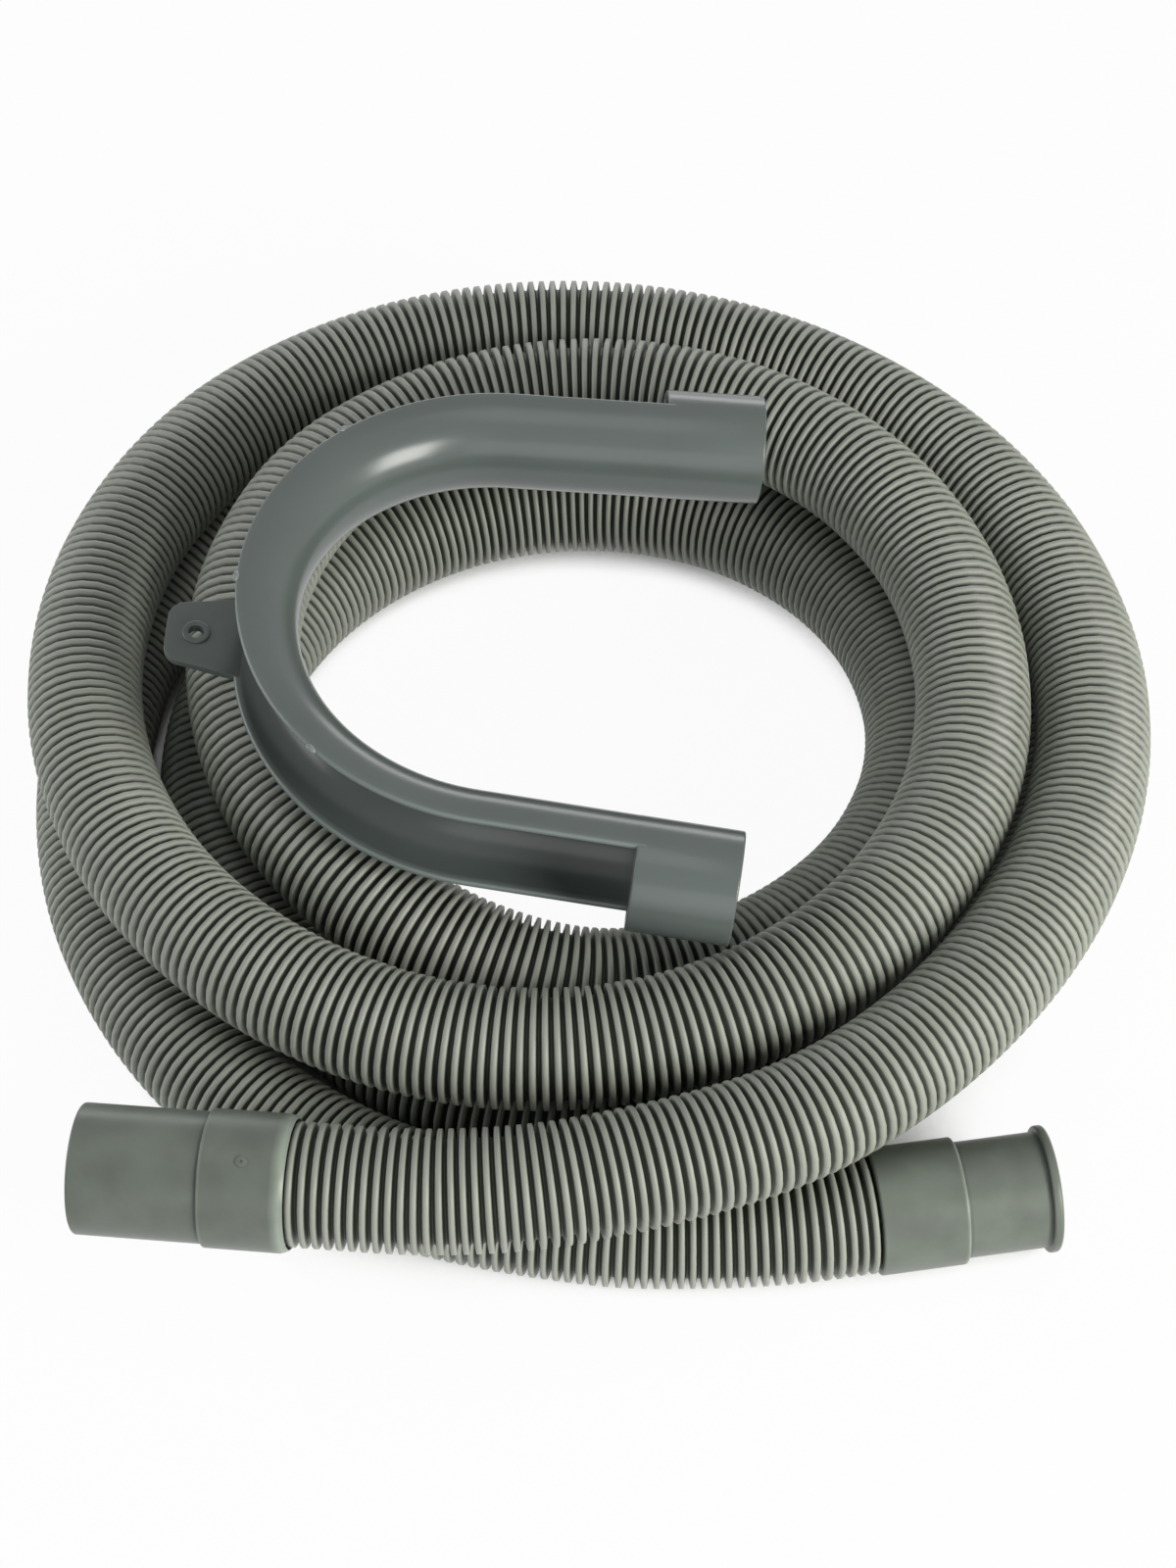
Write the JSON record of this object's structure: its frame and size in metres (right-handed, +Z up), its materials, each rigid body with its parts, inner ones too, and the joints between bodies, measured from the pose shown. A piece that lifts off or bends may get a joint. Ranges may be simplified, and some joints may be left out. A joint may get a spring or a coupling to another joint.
{
  "type": "washing machine drain hose",
  "caption": "Corrugated drain hose coiled for storage, with a moulded cuff on each end and a loose U-shaped crook that hooks it over a sink or standpipe.",
  "frame": {"origin": "on the floor under the middle of the whole coil", "axes": "+Z up, +X to the right and -Y towards the two cuffs at the front"},
  "size_m": [0.283, 0.3099, 0.0956],
  "materials": {
    "hose": "satin grey-green moulded plastic",
    "cuff": "satin grey-green moulded plastic",
    "crook": "smooth slightly glossy grey moulded plastic"
  },
  "bodies": {
    "root": {"hose": "hose", "outlet_cuff": "cuff", "machine_cuff": "cuff", "hose_crook": "crook"}
  },
  "joints": []
}
